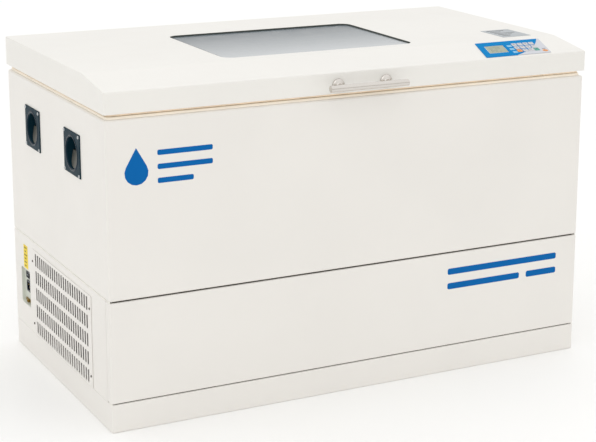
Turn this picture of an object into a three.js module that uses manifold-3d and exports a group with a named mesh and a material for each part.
// Refrigerated shaking water bath: a chest cabinet with a hinged lid, a window and a keypad.
// Units are millimetres. +Z is up, +X runs along the long side and the front faces -Y.
// The origin is the middle of the base, on the floor.
import * as THREE from 'three';
import { mergeVertices } from 'three/addons/utils/BufferGeometryUtils.js';
import Module from 'manifold-3d';

const wasm = await Module();
wasm.setup();

// ---------------------------------------------------------------- driving dimensions

// Cabinet
const WIDTH = 1350;
const DEPTH = 750;
const PLINTH_TOP = 72;
const SPLIT = 330; // seam between the lower and the upper panels
const BODY_TOP = 771;
const SHEET = 2;
const CORNER = 5;
const GAP = 0.3; // between two pieces that touch
const SHADOW_GAP = 4.5; // open seam above and below the lower front panel
const BODY_RETURN = 30;
const PANEL_RETURN = 25;
const SIDE_STRIP = 25; // how far the lower front panel wraps round each side

// Lid
const LID_OVERHANG = 3;
const LID_BOTTOM = 785;
const APRON_TOP = 838;
const LID_TOP = 860;
const SLOPE_END = -231; // where the control slope meets the flat top
const WINDOW = { x: -14, y: 3.5, width: 548, depth: 387, corner: 30 };
const LID_OPENING_AXIS = { y: 392, z: 786 };

// Tank
const TANK = { width: 1180, depth: 590, corner: 40, floor: 430, sheet: 2 };
const INSULATION = { width: 1270, depth: 680, corner: 60, bottom: 380.3, top: 764.7 };
const STANDPIPE = { radius: 26, top: 640 };

// Shaker
const THROW = 12.5; // orbit radius of the platform
const CRANKS = [
  { name: 'drive_crank', x: 0, y: -130 },
  { name: 'idler_crank_left', x: -420, y: 130 },
  { name: 'idler_crank_right', x: 420, y: 130 },
];
const SHAFT_RADIUS = 10;
const PIN_RADIUS = 7;
const ARM = { bottom: 650, top: 660 };
const PLATFORM = { width: 1100, depth: 510, level: 500, sheet: 3 };
const HAT = { inner: 47, outer: 50, top: 668 };
const BRIDGE = { bottom: 374, top: 380, depth: 580 };
const SLEEVE = { radius: 21, foot: 25, bottom: 368, top: 636 }; // bearing housing of a crank
const MOTOR = { radius: 42, bottom: 235, top: 330, plate: { half: 62, bottom: 338, top: 342 } };
const DRIVE = { x: 140, pulley: 20, crankPulley: 60, bottom: 350, top: 364, belt: 4 };

// Drain
const DRAIN = { x: 560, y: 240, radius: 9, outlet: 200 };

// Side fittings
const CUPS = { z: 648, rear: 167, front: -143, height: 109, width: 117, bowl: 40, depth: 28 };
const GRILLE = { y: -16.5, z: 192, width: 463, height: 238, columns: 24, pitch: 17.5, slot: 10 };
const GRILLE_ROWS = [285.5, 238, 190.5, 143.5, 96];
const GRILLE_SLOT_HEIGHT = 35;
const RIM = { inset: 6, top: 777.5 }; // inset from the cabinet sides
const GASKET_INSET = 8;
const RECESS = { y: 283.5, z: 184.5, width: 74, height: 99, depth: 10 };
const INLET = { y: 284.5, depth: 36, lip: 1.2, clearance: 0.5 };
const SOCKET_FACE = { width: 32, bottom: 168, top: 200, well: { width: 22, z: [172.5, 195.5], depth: 16 } };
const SWITCH_FACE = { width: 37, bottom: 205.5, top: 224.5, well: { width: 28, z: [208, 222], depth: 22 } };
const BLADES = [[-5, 187.5], [5, 187.5], [0, 180.5]]; // across from the inlet centre, height
// The pin's height, its distance off the recess floor, and the angle the rocker rests at
const ROCKER = { z: 215, halfWidth: 12, stand: 5, tilt: -7 };
const LOUVRES = { columns: [-260, 0], width: 200, rows: 7, first: 130, pitch: 24, height: 8 };

// Control panel, in the plane of the slope: x across, y up the slope from its lower edge
const SLOPE_ANGLE = Math.atan2(LID_TOP - APRON_TOP, SLOPE_END + DEPTH / 2 + LID_OVERHANG);
const SHEAR = 0.28; // the keys and the display lean with the panel
const OVERLAY = { left: 372, bottom: 10, width: 202, height: 114.5, lean: 0.3, low: 0.3, high: 1.5 };
const KEYS = { x: 508.5, y: 90, width: 15, height: 20, pitchX: 18, pitchY: 24.5, low: 1.1, high: 2.1 };
const POWER_KEY = { x: 566.5, y: 27, radius: 7.5 };
const DISPLAY = { x: 437.5, y: 66.5, width: 59, height: 57.5 };

// ---------------------------------------------------------------- finishes

const FINISH = {
  ivory: { color: 0xebe8e2, roughness: 0.45, metalness: 0 },
  cream: { color: 0xefe0c8, roughness: 0.5, metalness: 0 },
  white: { color: 0xf2f0ec, roughness: 0.5, metalness: 0 },
  black: { color: 0x15171c, roughness: 0.3, metalness: 0 },
  steel: { color: 0xc2c5c7, roughness: 0.3, metalness: 1 },
  chrome: { color: 0xd9dbdd, roughness: 0.1, metalness: 1 },
  zinc: { color: 0x9a9d9f, roughness: 0.5, metalness: 1 },
  copper: { color: 0xb87345, roughness: 0.35, metalness: 1 },
  brass: { color: 0xb59a4c, roughness: 0.35, metalness: 1 },
  foam: { color: 0xe3d59b, roughness: 0.9, metalness: 0 },
  rubber: { color: 0x22262a, roughness: 0.8, metalness: 0 },
  seal: { color: 0x2a332d, roughness: 0.7, metalness: 0 },
  glass: { color: 0xb7bdc2, roughness: 0.05, metalness: 0 },
  blue: { color: 0x007dc8, roughness: 0.4, metalness: 0 },
  lcd: { color: 0xa5b4a0, roughness: 0.3, metalness: 0 },
  grey: { color: 0xc9c6cc, roughness: 0.5, metalness: 0 },
  orange: { color: 0xf39a2e, roughness: 0.5, metalness: 0 },
  green: { color: 0x2f9c86, roughness: 0.5, metalness: 0 },
};

// ---------------------------------------------------------------- tools

// A closed three.js geometry as a solid that can be cut and joined.
function solid(geometry) {
  const shell = geometry.clone();
  shell.deleteAttribute('normal');
  shell.deleteAttribute('uv');
  const merged = mergeVertices(shell, 1e-4);
  const corners = merged.index.array;
  const kept = [];
  for (let i = 0; i < corners.length; i += 3) {
    const [a, b, c] = [corners[i], corners[i + 1], corners[i + 2]];
    if (a !== b && b !== c && c !== a) kept.push(a, b, c);
  }
  const vertProperties = merged.attributes.position.array;
  return new wasm.Manifold(new wasm.Mesh({ numProp: 3, vertProperties, triVerts: Uint32Array.from(kept) }));
}

function geometryOf(body) {
  const mesh = body.getMesh();
  const geometry = new THREE.BufferGeometry();
  geometry.setAttribute('position', new THREE.BufferAttribute(mesh.vertProperties, 3));
  geometry.setIndex(new THREE.BufferAttribute(mesh.triVerts, 1));
  return geometry;
}

const join = (...parts) => parts.reduce((sum, part) => sum.add(part));
const cut = (body, ...tools) => tools.reduce((rest, tool) => rest.subtract(tool), body);
const circle = (radius, x = 0, y = 0) => new THREE.Shape().absarc(x, y, radius, 0, 2 * Math.PI);

function block([x0, x1], [y0, y1], [z0, z1]) {
  const geometry = new THREE.BoxGeometry(x1 - x0, y1 - y0, z1 - z0);
  return solid(geometry.translate((x0 + x1) / 2, (y0 + y1) / 2, (z0 + z1) / 2));
}

// The two ends of a span about a centre.
function around(centre, size) {
  return [centre - size / 2, centre + size / 2];
}

// A round bar from one point along +X, +Y or +Z.
function rod(axis, [x, y, z], length, radius, sides = 12) {
  const geometry = new THREE.CylinderGeometry(radius, radius, length, sides).translate(0, length / 2, 0);
  if (axis === 'x') geometry.rotateZ(-Math.PI / 2);
  if (axis === 'z') geometry.rotateX(Math.PI / 2);
  return solid(geometry.translate(x, y, z));
}

// An outline in the XY plane, raised from z0 to z1.
function prism(shape, z0, z1, curveSegments = 2) {
  const geometry = new THREE.ExtrudeGeometry(shape, { depth: z1 - z0, bevelEnabled: false, curveSegments });
  return solid(geometry.translate(0, 0, z0));
}

function roundedRectangle(width, depth, radius, x = 0, y = 0) {
  const [w, d] = [width / 2 - radius, depth / 2 - radius];
  const shape = new THREE.Shape();
  shape.absarc(x + w, y + d, radius, 0, Math.PI / 2);
  shape.absarc(x - w, y + d, radius, Math.PI / 2, Math.PI);
  shape.absarc(x - w, y - d, radius, Math.PI, 1.5 * Math.PI);
  shape.absarc(x + w, y - d, radius, 1.5 * Math.PI, 2 * Math.PI);
  return shape;
}

// A frame between two rounded rectangles that share a centre.
function frame(outer, inner, z0, z1) {
  const bore = roundedRectangle(inner.width, inner.depth, inner.corner, inner.x, inner.y);
  const rim = roundedRectangle(outer.width, outer.depth, outer.corner, outer.x, outer.y);
  return cut(prism(rim, z0, z1), prism(bore, z0 - 1, z1 + 1));
}

const grown = (rectangle, by) => ({
  ...rectangle,
  width: rectangle.width + 2 * by,
  depth: rectangle.depth + 2 * by,
  corner: Math.max(rectangle.corner + by, 1),
});

// An outline of [y, z] points, extruded along X.
function lengthwise(points, x0, x1) {
  const shape = new THREE.Shape(points.map(([y, z]) => new THREE.Vector2(y, z)));
  const geometry = new THREE.ExtrudeGeometry(shape, { depth: x1 - x0, bevelEnabled: false });
  const turn = new THREE.Matrix4().makeBasis(
    new THREE.Vector3(0, 1, 0),
    new THREE.Vector3(0, 0, 1),
    new THREE.Vector3(1, 0, 0),
  );
  return solid(geometry.applyMatrix4(turn).translate(x0, 0, 0));
}

// A closed profile of [radius, height] points turned about Z.
function turned(points, sides = 16) {
  const profile = [...points, points[0]].map(([radius, height]) => new THREE.Vector2(radius, height));
  return solid(new THREE.LatheGeometry(profile, sides).rotateX(Math.PI / 2));
}

// A route through corner points, each corner rounded by an arc of the given radius.
class Route extends THREE.Curve {
  constructor(corners, radius, steps = 3) {
    super();
    const points = corners.map((corner) => new THREE.Vector3(...corner));
    this.points = [points[0]];
    for (let i = 1; i < points.length - 1; i += 1) {
      const [before, corner, after] = points.slice(i - 1, i + 2);
      const back = before.clone().sub(corner).setLength(radius).add(corner);
      const on = after.clone().sub(corner).setLength(radius).add(corner);
      const centre = back.clone().add(on).sub(corner);
      for (let step = 0; step <= steps; step += 1) {
        const angle = (step / steps) * (Math.PI / 2);
        const point = centre.clone();
        point.addScaledVector(back.clone().sub(centre), Math.cos(angle));
        point.addScaledVector(on.clone().sub(centre), Math.sin(angle));
        this.points.push(point);
      }
    }
    this.points.push(points.at(-1));
  }

  getPoint(t, target = new THREE.Vector3()) {
    const place = Math.min(Math.max(t, 0), 1) * (this.points.length - 1);
    const index = Math.min(Math.floor(place), this.points.length - 2);
    return target.lerpVectors(this.points[index], this.points[index + 1], place - index);
  }

  getUtoTmapping(u) {
    return u;
  }
}

function tube(corners, radius, bend, sides = 6) {
  const extrudePath = new Route(corners, bend);
  const steps = extrudePath.points.length - 1;
  const options = { steps, extrudePath, bevelEnabled: false, curveSegments: sides / 2 };
  return solid(new THREE.ExtrudeGeometry(circle(radius), options));
}

const part = new THREE.Group();

function add(name, body, finish, parent = part) {
  const mesh = new THREE.Mesh(geometryOf(body), new THREE.MeshStandardMaterial(FINISH[finish]));
  mesh.name = name;
  parent.add(mesh);
  return mesh;
}

// ---------------------------------------------------------------- cabinet

const FOOTPRINT = { width: WIDTH, depth: DEPTH, corner: CORNER };
const INSIDE = grown(FOOTPRINT, -SHEET);
const HALF_W = WIDTH / 2;
const HALF_D = DEPTH / 2;
const REACH = 700; // past every face of the cabinet, for cutting tools
const footprint = (rectangle) => roundedRectangle(rectangle.width, rectangle.depth, rectangle.corner);

function basePlinth() {
  const top = PLINTH_TOP - GAP;
  const deck = 4;
  const flange = 40;
  const strapHalf = 60;
  const shell = cut(prism(footprint(FOOTPRINT), 0, top), prism(footprint(INSIDE), SHEET, top - deck));
  const openings = [-1, 1].map((side) => {
    const edges = [side * strapHalf, side * (HALF_W - flange)].sort((a, b) => a - b);
    return block(edges, [flange - HALF_D, HALF_D - flange], [-1, SHEET + 1]);
  });
  return cut(shell, ...openings);
}

// The left, back and right walls of the machine compartment, with the service recess.
function lowerShell() {
  const [bottom, top] = [PLINTH_TOP, SPLIT - GAP];
  const walls = frame(FOOTPRINT, INSIDE, bottom, top);
  const flange = frame(grown(INSIDE, 0.5), grown(INSIDE, -PANEL_RETURN), top - SHEET, top);
  const recessY = around(RECESS.y, RECESS.width);
  const recessZ = around(RECESS.z, RECESS.height);
  const widen = ([low, high], by) => [low - by, high + by];
  const floor = -HALF_W + RECESS.depth;
  const recess = block([-HALF_W + 1, floor + SHEET], widen(recessY, SHEET), widen(recessZ, SHEET));
  const louvres = [];
  for (const x of LOUVRES.columns) {
    for (let row = 0; row < LOUVRES.rows; row += 1) {
      const z = LOUVRES.first + LOUVRES.pitch * row;
      louvres.push(block([x, x + LOUVRES.width], [HALF_D - 5, HALF_D + 5], [z, z + LOUVRES.height]));
    }
  }
  const intake = [GRILLE.width / 2 - 18, GRILLE.height / 2 - 7];
  const holeInset = INLET.lip - INLET.clearance;
  const inletHoles = [SOCKET_FACE, SWITCH_FACE].map((face) => block(
    [-REACH, floor + 5],
    around(INLET.y, face.width - 2 * holeInset),
    [face.bottom + holeInset, face.top - holeInset],
  ));
  return cut(
    join(walls, flange, recess),
    block([-REACH, REACH], [-REACH, SIDE_STRIP - HALF_D + GAP], [0, SPLIT]),
    block([-REACH, floor], recessY, recessZ),
    ...inletHoles,
    block(
      [-REACH, -HALF_W + 5],
      [GRILLE.y - intake[0], GRILLE.y + intake[0]],
      [GRILLE.z - intake[1], GRILLE.z + intake[1]],
    ),
    rod('y', [DRAIN.x, HALF_D - 5, DRAIN.outlet], 10, DRAIN.radius + 2),
    ...louvres,
  );
}

function lowerFrontPanel() {
  const [bottom, top] = [PLINTH_TOP + SHADOW_GAP / 2, SPLIT - SHADOW_GAP / 2];
  const tray = cut(prism(footprint(FOOTPRINT), bottom, top), prism(footprint(INSIDE), bottom - 1, top + 1));
  const lips = [bottom, top - SHEET].map((z) => (
    block([-HALF_W + 10, HALF_W - 10], [1 - HALF_D, 18 - HALF_D], [z, z + SHEET])
  ));
  const front = block([-REACH, REACH], [-REACH, SIDE_STRIP - HALF_D], [0, SPLIT]);
  return join(tray.intersect(front), ...lips);
}

function grillePanel() {
  const outline = roundedRectangle(GRILLE.height, GRILLE.width, 3, GRILLE.z, GRILLE.y);
  const plate = prism(outline, GAP, 1.8, 1).rotate([0, -90, 0]).translate([-HALF_W, 0, 0]);
  const first = GRILLE.y - (GRILLE.pitch * (GRILLE.columns - 1)) / 2;
  const slots = [];
  for (const z of GRILLE_ROWS) {
    for (let column = 0; column < GRILLE.columns; column += 1) {
      const y = first + GRILLE.pitch * column;
      const height = [z - GRILLE_SLOT_HEIGHT / 2, z + GRILLE_SLOT_HEIGHT / 2];
      slots.push(block([-REACH, -HALF_W + 5], [y - GRILLE.slot / 2, y + GRILLE.slot / 2], height));
    }
  }
  return cut(plate, ...slots);
}

function upperShell() {
  const walls = frame(FOOTPRINT, INSIDE, SPLIT + GAP, BODY_TOP);
  const within = grown(INSIDE, 0.5);
  const topReturn = frame(within, grown(FOOTPRINT, -BODY_RETURN), BODY_TOP - SHEET, BODY_TOP);
  const bottomReturn = frame(within, grown(INSIDE, -PANEL_RETURN), SPLIT + GAP, SPLIT + GAP + SHEET);
  const seam = block([-REACH, REACH], [-REACH, SIDE_STRIP - HALF_D], [SPLIT - 1, SPLIT + SHADOW_GAP / 2]);
  const pockets = [CUPS.rear, CUPS.front].map((y) => (
    block([-REACH, REACH], [y - 47, y + 47], [CUPS.z - 47, CUPS.z + 47])
  ));
  return cut(join(walls, topReturn, bottomReturn), seam, ...pockets);
}

// A recessed cup handle that faces -X, with its plate on the plane x = 0.
function cupHandle() {
  const face = roundedRectangle(CUPS.height, CUPS.width, 2.5);
  const plate = prism(face, GAP, 3, 2).rotate([0, -90, 0]);
  const shell = rod('x', [-1, 0, 0], CUPS.depth + 4, CUPS.bowl + 5, 16);
  const bowl = rod('x', [-5, 0, 0], CUPS.depth + 5, CUPS.bowl, 16);
  const ramp = new THREE.Shape([
    new THREE.Vector2(CUPS.depth + 1, 0),
    new THREE.Vector2(CUPS.depth + 1, -CUPS.bowl),
    new THREE.Vector2(2, -CUPS.bowl),
  ]);
  const wedge = new THREE.ExtrudeGeometry(ramp, { depth: 2 * CUPS.bowl, bevelEnabled: false });
  const slope = solid(wedge.rotateX(Math.PI / 2).translate(0, CUPS.bowl, 0));
  const filling = slope.intersect(rod('x', [0, 0, 0], CUPS.depth + 2, CUPS.bowl + 1, 16));
  return join(cut(join(plate, shell), bowl), filling);
}

// Mains inlet and switch housing in one moulding: two lipped faces on the floor of the service
// recess, joined by a body behind the sheet.
function powerInlet() {
  const seat = -HALF_W + RECESS.depth;
  const { lip } = INLET;
  const bodyWidth = SWITCH_FACE.width - 2 * lip;
  const behind = block(
    [seat + SHEET + GAP, seat + INLET.depth],
    around(INLET.y, bodyWidth),
    [SOCKET_FACE.bottom + lip, SWITCH_FACE.top - lip],
  );
  const fronts = [SOCKET_FACE, SWITCH_FACE].map(({ width, bottom, top }) => join(
    block([seat - 3, seat - GAP], around(INLET.y, width), [bottom, top]),
    block([seat - GAP - 1, seat + SHEET + 1], around(INLET.y, width - 2 * lip), [bottom + lip, top - lip]),
  ));
  const wells = [SOCKET_FACE, SWITCH_FACE].map(({ well }) => (
    block([seat - 5, seat + well.depth], around(INLET.y, well.width), well.z)
  ));
  const blades = BLADES.map(([across, z]) => (
    block([seat + 2, seat + 18], around(INLET.y + across, 2), around(z, 4))
  ));
  return join(cut(join(behind, ...fronts), ...wells), ...blades);
}

// The rocker turns about a vertical pin through its own origin.
function powerRocker() {
  const shape = new THREE.Shape([
    new THREE.Vector2(-8, -ROCKER.halfWidth),
    new THREE.Vector2(-6, 0),
    new THREE.Vector2(-8, ROCKER.halfWidth),
    new THREE.Vector2(4, ROCKER.halfWidth),
    new THREE.Vector2(4, -ROCKER.halfWidth),
  ].reverse());
  return prism(shape, -6.5, 6.5);
}

// The moulded frame that covers the gap between the tank and the cabinet.
function rimFrame() {
  const outer = grown(FOOTPRINT, -RIM.inset);
  const opening = { width: TANK.width - 4, depth: TANK.depth - 4, corner: TANK.corner - 2 };
  return frame({ ...outer, corner: 10 }, opening, BODY_TOP + GAP, RIM.top);
}

add('base_plinth', basePlinth(), 'ivory');
add('lower_shell', lowerShell(), 'ivory');
add('lower_front_panel', lowerFrontPanel(), 'ivory');
add('grille_panel', grillePanel(), 'ivory');
add('upper_shell', upperShell(), 'ivory');
for (const [side, place, turn] of [['left', -HALF_W, 0], ['right', HALF_W, Math.PI]]) {
  for (const end of ['front', 'rear']) {
    const cup = add(`cup_handle_${side}_${end}`, cupHandle(), 'black');
    cup.position.set(place, CUPS[end], CUPS.z);
    cup.rotation.z = turn;
  }
}
add('power_inlet', powerInlet(), 'black');
const rocker = add('power_rocker', powerRocker(), 'black');
rocker.position.set(-HALF_W + RECESS.depth + ROCKER.stand, INLET.y, ROCKER.z);
rocker.rotation.z = THREE.MathUtils.degToRad(ROCKER.tilt);
add('rim_frame', rimFrame(), 'cream');

// ---------------------------------------------------------------- tank and its fittings

const HEATER = { level: 455, radius: 5, left: -350, right: 350, front: -40, back: 20 };
const COIL = { level: 455, radius: 6, outer: [540, 260], inner: [505, 225], last: -470, entry: 0 };
const PROBE = { x: 578, y: 0, radius: 4 };
const PROBE_TOP = 600;
const TUBE_END = 395; // where the tubes end, below the insulation's upper half

const tankPorts = (clearance, z0, z1) => [
  [HEATER.left, HEATER.front, HEATER.radius],
  [HEATER.left, HEATER.back, HEATER.radius],
  [-COIL.outer[0], COIL.entry, COIL.radius],
  [COIL.last, COIL.entry, COIL.radius],
  [PROBE.x, PROBE.y, PROBE.radius],
  [DRAIN.x, DRAIN.y, DRAIN.radius],
].map(([x, y, radius]) => rod('z', [x, y, z0], z1 - z0, (radius + clearance) / Math.cos(Math.PI / 8), 8));

function waterTank() {
  const outer = grown(TANK, TANK.sheet);
  const underside = TANK.floor - TANK.sheet;
  const top = BODY_TOP - GAP;
  const bowl = cut(prism(footprint(outer), underside, top), prism(footprint(TANK), TANK.floor, top + 1));
  const flange = frame(grown(TANK, 48), grown(TANK, 1), BODY_TOP - SHEET, top);
  const height = STANDPIPE.top - underside;
  const pipes = CRANKS.map(({ x, y }) => rod('z', [x, y, underside], height, STANDPIPE.radius, 16));
  const bores = CRANKS.map(({ x, y }) => (
    rod('z', [x, y, underside - 1], height + 2, STANDPIPE.radius - TANK.sheet, 16)
  ));
  return cut(join(bowl, flange, ...pipes), ...bores, ...tankPorts(0.6, underside - 1, TANK.floor + 1));
}

function tankInsulation() {
  const hollow = grown(TANK, TANK.sheet + 1);
  const floor = TANK.floor - TANK.sheet - 0.5;
  const sleeves = CRANKS.map(({ x, y }) => rod('z', [x, y, INSULATION.bottom - 1], 60, 23));
  return cut(
    prism(footprint(INSULATION), INSULATION.bottom, INSULATION.top),
    prism(footprint(hollow), floor, INSULATION.top + 1),
    ...sleeves,
    ...tankPorts(1, INSULATION.bottom - 1, floor + 1),
  );
}

function heaterElement() {
  const { level, left, right, front, back, radius } = HEATER;
  const corners = [
    [left, front, TUBE_END],
    [left, front, level],
    [right, front, level],
    [right, back, level],
    [left, back, level],
    [left, back, TUBE_END],
  ];
  return tube(corners, radius, 22);
}

function evaporatorCoil() {
  const { level, outer: [x, y], inner: [ix, iy], last, entry, radius } = COIL;
  const corners = [
    [-x, entry, TUBE_END],
    [-x, entry, level],
    [-x, y, level],
    [x, y, level],
    [x, -y, level],
    [-ix, -y, level],
    [-ix, iy, level],
    [ix, iy, level],
    [ix, -iy, level],
    [last, -iy, level],
    [last, entry, level],
    [last, entry, TUBE_END],
  ];
  return tube(corners, radius, 15);
}

// A pipe from the tank floor to a ball valve on the back of the cabinet.
function drainValve() {
  const { x, y, radius, outlet } = DRAIN;
  const route = [[x, y, TANK.floor - 1], [x, y, outlet], [x, HALF_D + 45, outlet]];
  const pipe = tube(route, radius, 25, 12);
  const body = rod('y', [x, HALF_D + 1, outlet], 30, 16);
  const neck = rod('z', [x, HALF_D + 16, outlet + 10], 10, 6, 12);
  return join(pipe, body, neck);
}

// The lever turns about a vertical stem through its own origin.
function drainLever() {
  return join(rod('z', [0, 0, 0], 9, 7, 12), block([-72, 0], [-7, 7], [6, 9]));
}

add('water_tank', waterTank(), 'steel');
add('tank_insulation', tankInsulation(), 'foam');
add('heater_element', heaterElement(), 'zinc');
add('evaporator_coil', evaporatorCoil(), 'steel');
const probe = rod('z', [PROBE.x, PROBE.y, TUBE_END], PROBE_TOP - TUBE_END, PROBE.radius);
add('temperature_probe', probe, 'steel');
add('drain_valve', drainValve(), 'brass');
const lever = add('drain_lever', drainLever(), 'blue');
lever.position.set(DRAIN.x, HALF_D + 16, DRAIN.outlet + 20.5);

// ---------------------------------------------------------------- refrigeration

function compressor() {
  const floor = PLINTH_TOP + GAP;
  const foot = block([-100, 100], [-80, 80], [floor, floor + 4]);
  const can = turned([
    [0, floor + 2], [70, floor + 2], [84, floor + 24], [84, floor + 150], [76, floor + 180],
    [52, floor + 198], [0, floor + 204],
  ], 16);
  const stub = rod('x', [60, 0, floor + 120], 50, 5, 8);
  return join(foot, can, stub);
}

function condenser() {
  const core = block([-646, -611], [-200, 185], [PLINTH_TOP + GAP, 300]);
  const bends = [115, 215].map((z) => tube(
    [[-628.5, 180, z], [-628.5, 205, z], [-628.5, 205, z + 40], [-628.5, 180, z + 40]], 5, 15,
  ));
  return join(core, ...bends);
}

const FAN = { y: -8, z: 190, radius: 98 };

// Duct, legs and motor of the condenser fan.
function fanFrame() {
  const opening = rod('x', [-620, FAN.y, FAN.z], 90, FAN.radius + 7, 20);
  const plate = block([-608, -604], [FAN.y - 118, FAN.y + 118], [PLINTH_TOP + GAP, FAN.z + 118]);
  const duct = rod('x', [-608, FAN.y, FAN.z], 62, FAN.radius + 10, 20);
  const motor = rod('x', [-562, FAN.y, FAN.z], 46, 28);
  const spokes = [0, 60, 120].map((degrees) => (
    block([-552, -546], [-106, 106], [-4, 4]).rotate([degrees, 0, 0]).translate([0, FAN.y, FAN.z])
  ));
  return join(cut(join(plate, duct), opening), motor, ...spokes);
}

// The rotor turns about an axis along X through its own origin.
function condenserFan() {
  const blades = [0, 1, 2, 3, 4].map((index) => (
    block([-1.5, 1.5], [-20, 20], [10, FAN.radius])
      .rotate([0, 0, 55])
      .rotate([72 * index, 0, 0])
  ));
  return join(rod('x', [-13, 0, 0], 26, 26), ...blades);
}

const compressorUnit = add('compressor', compressor(), 'black');
compressorUnit.position.set(390, 90, 0);
add('condenser', condenser(), 'zinc');
add('fan_frame', fanFrame(), 'zinc');
const fan = add('condenser_fan', condenserFan(), 'steel');
fan.position.set(-584, FAN.y, FAN.z);

// ---------------------------------------------------------------- shaker

const [DRIVE_CRANK] = CRANKS;
const MOTOR_PLACE = [DRIVE.x, DRIVE_CRANK.y];

// A deck under the tank that holds the three crank bearings and hangs the motor.
function crankBridge() {
  const half = HALF_W - SHEET - 5;
  const seat = SPLIT + GAP + SHEET + GAP;
  const deep = [-BRIDGE.depth / 2, BRIDGE.depth / 2];
  const ends = (width) => [[-half, width - half], [half - width, half]];
  const plate = block([-half, half], deep, [BRIDGE.bottom, BRIDGE.top]);
  const legs = ends(6).map((x) => block(x, deep, [seat, BRIDGE.top]));
  const feet = ends(16).map((x) => block(x, deep, [seat, seat + 4]));
  const sleeves = CRANKS.map(({ x, y }) => join(
    rod('z', [x, y, BRIDGE.bottom], SLEEVE.top - BRIDGE.bottom, SLEEVE.radius),
    rod('z', [x, y, SLEEVE.bottom], BRIDGE.top - SLEEVE.bottom - 4, SLEEVE.foot),
  ));
  const { half: reach, bottom, top } = MOTOR.plate;
  const [x0, y0] = MOTOR_PLACE;
  const motorPlate = block([x0 - 55, x0 + 65], [y0 - reach, y0 + reach], [bottom, top]);
  const posts = [[-45, -52], [-45, 52], [55, -52], [55, 52]].map(([x, y]) => (
    rod('z', [x0 + x, y0 + y, bottom + 2], BRIDGE.bottom - bottom - 1, 5, 6)
  ));
  const bores = CRANKS.map(({ x, y }) => (
    rod('z', [x, y, SLEEVE.bottom - 8], SLEEVE.top - SLEEVE.bottom + 12, SHAFT_RADIUS + 1)
  ));
  return cut(
    join(plate, ...legs, ...feet, ...sleeves, motorPlate, ...posts),
    ...bores,
    rod('z', [...MOTOR_PLACE, bottom - 8], 20, 9),
    ...tankPorts(4, BRIDGE.bottom - 1, BRIDGE.top + 1),
  );
}

// The upper end that every crank has: collar, arm and crank pin.
function crankHead() {
  return join(
    rod('z', [0, 0, SLEEVE.top + 0.5], ARM.bottom - SLEEVE.top, 14),
    rod('z', [0, 0, ARM.bottom], ARM.top - ARM.bottom, 16),
    rod('z', [THROW, 0, ARM.bottom], ARM.top - ARM.bottom, 13),
    rod('z', [THROW, 0, ARM.top - 1], 29, PIN_RADIUS),
  );
}

function idlerCrank() {
  const end = SLEEVE.bottom - 10;
  const shaft = rod('z', [0, 0, end], SLEEVE.top + 2 - end, SHAFT_RADIUS);
  return join(crankHead(), shaft, rod('z', [0, 0, end], 9.5, 14));
}

function pulley(radius) {
  const { bottom, top } = DRIVE;
  return join(
    rod('z', [0, 0, bottom], top - bottom, radius, 20),
    rod('z', [0, 0, bottom - 1.5], 2, radius + 3, 20),
    rod('z', [0, 0, top - 0.5], 2, radius + 3, 20),
  );
}

function driveCrank() {
  const end = DRIVE.bottom - 5;
  const shaft = rod('z', [0, 0, end], SLEEVE.top + 2 - end, SHAFT_RADIUS);
  return join(crankHead(), shaft, pulley(DRIVE.crankPulley));
}

// The pulley with the motor's own shaft.
function motorPulley() {
  const end = MOTOR.top - 4;
  return join(pulley(DRIVE.pulley), rod('z', [0, 0, end], DRIVE.bottom + 1 - end, 6));
}

function shakerMotor() {
  const can = rod('z', [0, 0, MOTOR.bottom], MOTOR.top - MOTOR.bottom, MOTOR.radius, 16);
  const rise = MOTOR.plate.bottom - GAP - (MOTOR.top - 2);
  const face = rod('z', [0, 0, MOTOR.top - 2], rise, MOTOR.radius + 4, 16);
  return cut(join(can, face), rod('z', [0, 0, MOTOR.top - 6], 20, 7.5));
}

// A flat belt round both pulleys.
function driveBelt() {
  const outline = (extra) => {
    const [large, small] = [DRIVE.crankPulley + extra, DRIVE.pulley + extra];
    const tangent = Math.acos((large - small) / DRIVE.x);
    const shape = new THREE.Shape();
    shape.absarc(0, 0, large, tangent, 2 * Math.PI - tangent);
    shape.absarc(DRIVE.x, 0, small, -tangent, tangent);
    return shape;
  };
  const [low, high] = [DRIVE.bottom + 2.5, DRIVE.top - 2.5];
  return cut(prism(outline(0.4 + DRIVE.belt), low, high, 5), prism(outline(1.2), low - 1, high + 1, 5));
}

// A perforated tray that hangs on three crank pins, with a raised hat over each standpipe.
function shakerPlatform() {
  const { width, depth, level, sheet } = PLATFORM;
  const outline = { width, depth, corner: 12 };
  const hats = CRANKS.map(({ x, y }) => [x + THROW, y]);
  const plate = prism(footprint(outline), level, level + sheet);
  const edge = frame(outline, grown(outline, -SHEET), level + 1, level + 16);
  const hatWalls = hats.map(([x, y]) => rod('z', [x, y, level], HAT.top - level + 3, HAT.outer, 16));
  const hatBores = hats.map(([x, y]) => rod('z', [x, y, level - 1], HAT.top - level + 1, HAT.inner, 16));
  const hubs = hats.map(([x, y]) => rod('z', [x, y, ARM.top + 0.5], 34, 13));
  const pinBores = hats.map(([x, y]) => rod('z', [x, y, ARM.top - 1], 31, PIN_RADIUS + 0.7));
  const perforations = [];
  for (let x = -480; x <= 480; x += 160) {
    for (const y of [-180, 0, 180]) {
      const clear = hats.every(([hx, hy]) => Math.hypot(x - hx, y - hy) > HAT.outer + 35);
      if (clear) perforations.push(rod('z', [x, y, level - 1], sheet + 2, 30, 8));
    }
  }
  const tray = cut(join(plate, edge, ...hatWalls), ...hatBores, ...perforations);
  return cut(join(tray, ...hubs), ...pinBores);
}

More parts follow.
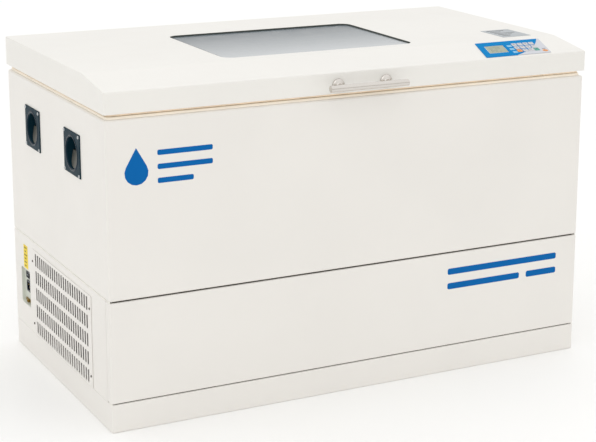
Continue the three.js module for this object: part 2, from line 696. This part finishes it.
add('crank_bridge', crankBridge(), 'zinc');
for (const { name, x, y } of CRANKS) {
  const crank = add(name, name === 'drive_crank' ? driveCrank() : idlerCrank(), 'steel');
  crank.position.set(x, y, 0);
}
const motor = add('shaker_motor', shakerMotor(), 'black');
motor.position.set(...MOTOR_PLACE, 0);
const smallPulley = add('motor_pulley', motorPulley(), 'zinc');
smallPulley.position.set(...MOTOR_PLACE, 0);
const belt = add('drive_belt', driveBelt(), 'rubber');
belt.position.set(DRIVE_CRANK.x, DRIVE_CRANK.y, 0);
add('shaker_platform', shakerPlatform(), 'steel');

// ---------------------------------------------------------------- lid

const lid = new THREE.Group();
part.add(lid);
const LID_HALF_W = HALF_W + LID_OVERHANG;
const LID_HALF_D = HALF_D + LID_OVERHANG;
const INNER_PANE = { bottom: 788.6, top: 792.6 };
const LINER_TOP = 788.3;
const UPSTAND_TOP = 842.7;

// The slope's outer surface at a distance y from the middle of the cabinet, lowered by the sheet.
const underSlope = (y) => (
  APRON_TOP + (y + LID_HALF_D) * Math.tan(SLOPE_ANGLE) - SHEET / Math.cos(SLOPE_ANGLE)
);

function leaning(x, y, width, height, lean, margin = 0) {
  const [w, h] = [width / 2 + margin, height / 2 + margin];
  return new THREE.Shape([[-w, -h], [w, -h], [w, h], [-w, h]].map(([dx, dy]) => (
    new THREE.Vector2(x + dx + lean * dy, y + dy)
  )));
}

// A solid built in the plane of the slope, moved to where the slope is.
const onSlope = (body) => (
  body.rotate([THREE.MathUtils.radToDeg(SLOPE_ANGLE), 0, 0]).translate([0, -LID_HALF_D, APRON_TOP])
);

function lidShell() {
  const outside = lengthwise([
    [-LID_HALF_D, LID_BOTTOM], [LID_HALF_D, LID_BOTTOM], [LID_HALF_D, LID_TOP],
    [SLOPE_END, LID_TOP], [-LID_HALF_D, APRON_TOP],
  ], -LID_HALF_W, LID_HALF_W);
  const [front, back] = [SHEET - LID_HALF_D, LID_HALF_D - SHEET];
  const inside = lengthwise([
    [front, LID_BOTTOM - 1], [back, LID_BOTTOM - 1], [back, LID_TOP - SHEET],
    [SLOPE_END, LID_TOP - SHEET], [front, underSlope(front)],
  ], SHEET - LID_HALF_W, LID_HALF_W - SHEET);
  const windowHole = roundedRectangle(WINDOW.width, WINDOW.depth, WINDOW.corner, WINDOW.x, WINDOW.y);
  const lip = frame(grown(WINDOW, SHEET), WINDOW, LID_TOP - 14, LID_TOP - 1);
  const displayHole = leaning(DISPLAY.x, DISPLAY.y, DISPLAY.width, DISPLAY.height, SHEAR, 0.6);
  return cut(
    join(cut(outside, inside), lip),
    prism(windowHole, LID_TOP - 20, LID_TOP + 1),
    onSlope(prism(displayHole, -5, 5)),
  );
}

function lidLiner() {
  const outer = { width: 2 * (LID_HALF_W - SHEET - GAP), depth: 2 * (LID_HALF_D - SHEET - GAP), corner: 3 };
  const plate = frame(outer, grown(WINDOW, -21.5), LID_BOTTOM + GAP, LINER_TOP);
  const upstand = frame(grown(WINDOW, -3.5), grown(WINDOW, -8.5), LINER_TOP - 1, UPSTAND_TOP);
  return join(plate, upstand);
}

function lidInsulation() {
  const slab = block(
    [6 - LID_HALF_W, LID_HALF_W - 6],
    [SLOPE_END + 3, LID_HALF_D - 4],
    [LINER_TOP + GAP, LID_TOP - SHEET - 0.6],
  );
  const well = grown(WINDOW, 2.5);
  return cut(slab, prism(roundedRectangle(well.width, well.depth, well.corner, well.x, well.y), 780, 870));
}

function windowGasket() {
  const ring = frame(grown(WINDOW, -GAP), grown(WINDOW, -10.5), UPSTAND_TOP + GAP, 852.5);
  const groove = grown(WINDOW, -3.7);
  const slot = roundedRectangle(groove.width, groove.depth, groove.corner, groove.x, groove.y);
  return cut(ring, prism(slot, 846.2, 851.8));
}

function pane(margin, z0, z1) {
  const edge = grown(WINDOW, -margin);
  return prism(roundedRectangle(edge.width, edge.depth, edge.corner, edge.x, edge.y), z0, z1);
}

function lidGasket() {
  const outer = { ...grown(FOOTPRINT, -GASKET_INSET), corner: 12 };
  return frame(outer, { width: 1240, depth: 640, corner: 50 }, RIM.top + GAP, LID_BOTTOM - GAP);
}

// A polished bar on two posts, each with a domed rosette against the apron.
function lidHandle() {
  const bar = { y: -LID_HALF_D - 40, z: 806, radius: 8.5, length: 219, post: 67.5 };
  const rosette = turned([[0, 0], [17, 0], [16, 3.5], [12, 6.5], [0, 8]], 16);
  const posts = [-bar.post, bar.post].map((x) => join(
    rod('y', [x, bar.y, bar.z], 40 - GAP - 1, 6, 12),
    rosette.rotate([90, 0, 0]).translate([x, -LID_HALF_D - GAP, bar.z]),
  ));
  return join(rod('x', [-bar.length / 2, bar.y, bar.z], bar.length, bar.radius, 16), ...posts);
}

add('lid_shell', lidShell(), 'white', lid);
add('lid_liner', lidLiner(), 'cream', lid);
add('lid_insulation', lidInsulation(), 'foam', lid);
add('lid_gasket', lidGasket(), 'cream', lid);
add('window_gasket', windowGasket(), 'seal', lid);
add('window_glass', pane(4, 846.5, 851.5), 'glass', lid);
add('inner_glass', pane(8.8, INNER_PANE.bottom, INNER_PANE.top), 'glass', lid);
add('lid_handle', lidHandle(), 'chrome', lid);

// ---------------------------------------------------------------- control panel

const slope = new THREE.Group();
slope.position.set(0, -LID_HALF_D, APRON_TOP);
slope.rotation.x = SLOPE_ANGLE;
lid.add(slope);

const keyRows = [
  { row: 'top', finishes: ['grey', 'grey', 'grey', 'grey'] },
  { row: 'middle', finishes: ['grey', 'grey', 'grey', 'grey'] },
  { row: 'bottom', finishes: ['orange', 'grey', 'grey', 'green'] },
];
const keyPlaces = keyRows.flatMap(({ row, finishes }, down) => finishes.map((finish, along) => ({
  name: `key_${row}_${along + 1}`,
  x: KEYS.x + KEYS.pitchX * along - SHEAR * KEYS.pitchY * down,
  y: KEYS.y - KEYS.pitchY * down,
  finish,
})));

function controlOverlay() {
  const { left, bottom, width, height, lean, low, high } = OVERLAY;
  const middle = [left + width / 2 + (lean * height) / 2, bottom + height / 2];
  const sheet = prism(leaning(...middle, width, height, lean), low, high);
  const keyHoles = keyPlaces.map(({ x, y }) => (
    prism(leaning(x, y, KEYS.width, KEYS.height, SHEAR, 0.5), low - 1, high + 1)
  ));
  const screenHole = leaning(DISPLAY.x, DISPLAY.y, DISPLAY.width, DISPLAY.height, SHEAR, 0.3);
  return cut(
    sheet,
    ...keyHoles,
    prism(screenHole, low - 1, high + 1),
    rod('z', [POWER_KEY.x, POWER_KEY.y, low - 1], 4, POWER_KEY.radius + 0.5),
  );
}

function display() {
  const { x, y, width, height } = DISPLAY;
  const screen = prism(leaning(x, y, width, height, SHEAR, -GAP), -SHEET - 2, 1.2);
  return join(screen, prism(leaning(x, y, width + 14, height + 8, 0), -14, -SHEET - 0.5));
}

add('control_overlay', controlOverlay(), 'blue', slope);
add('display', display(), 'lcd', slope);
for (const { name, x, y, finish } of keyPlaces) {
  const cap = prism(leaning(0, 0, KEYS.width, KEYS.height, SHEAR), KEYS.low, KEYS.high);
  add(name, cap, finish, slope).position.set(x, y, 0);
}
const powerCap = rod('z', [0, 0, KEYS.low], KEYS.high - KEYS.low, POWER_KEY.radius);
add('key_power', powerCap, 'orange', slope).position.set(POWER_KEY.x, POWER_KEY.y, 0);

// ---------------------------------------------------------------- hinges

const HINGE = { x: 450, pin: 4, bore: 4.4, knuckle: 8, half: 24, leafHalf: 42, bottom: 650, top: 770 };

// Spring housing on the back of the cabinet, with two ears that hold the pin.
function hingeBase() {
  const { y, z } = LID_OPENING_AXIS;
  const wall = HALF_D + GAP;
  const { half, leafHalf, bottom, top } = HINGE;
  const ear = 4;
  const hollow = (from) => block([ear - half, half - ear], [wall + 3, y + 6], [from, top + 10]);
  const housing = cut(block([-half, half], [wall, y + 9], [bottom, top]), hollow(bottom - 10));
  const flange = block([-leafHalf, leafHalf], [wall, wall + 3], [bottom + 14, top - 14]);
  const ears = [-half, half - ear].map((x) => join(
    block([x, x + ear], [y - HINGE.knuckle, y + HINGE.knuckle], [top - 10, z]),
    rod('x', [x, y, z], ear, HINGE.knuckle),
  ));
  const pinBore = rod('x', [-half - 6, y, z], 2 * half + 12, HINGE.bore);
  return cut(join(housing, cut(flange, hollow(bottom + 50)), ...ears), pinBore);
}

function hingeLeaf() {
  const { y, z } = LID_OPENING_AXIS;
  const face = LID_HALF_D + GAP;
  const plate = block([-HINGE.leafHalf, HINGE.leafHalf], [face, face + 3], [798, 850]);
  const barrel = 19.5; // half the length of the knuckle
  const tongue = block([-barrel, barrel], [face, y], [z, z + 14]);
  const knuckle = rod('x', [-barrel, y, z], 2 * barrel, HINGE.knuckle);
  return cut(join(plate, tongue, knuckle), rod('x', [-barrel - 10, y, z], 2 * barrel + 20, HINGE.bore));
}

for (const [side, x] of [['left', -HINGE.x], ['right', HINGE.x]]) {
  add(`hinge_base_${side}`, hingeBase(), 'zinc').position.x = x;
  add(`hinge_leaf_${side}`, hingeLeaf(), 'zinc', lid).position.x = x;
  const { y, z } = LID_OPENING_AXIS;
  const pin = rod('x', [-HINGE.half - 2, y, z], 2 * HINGE.half + 4, HINGE.pin);
  add(`hinge_pin_${side}`, pin, 'steel').position.x = x;
}

export default part;
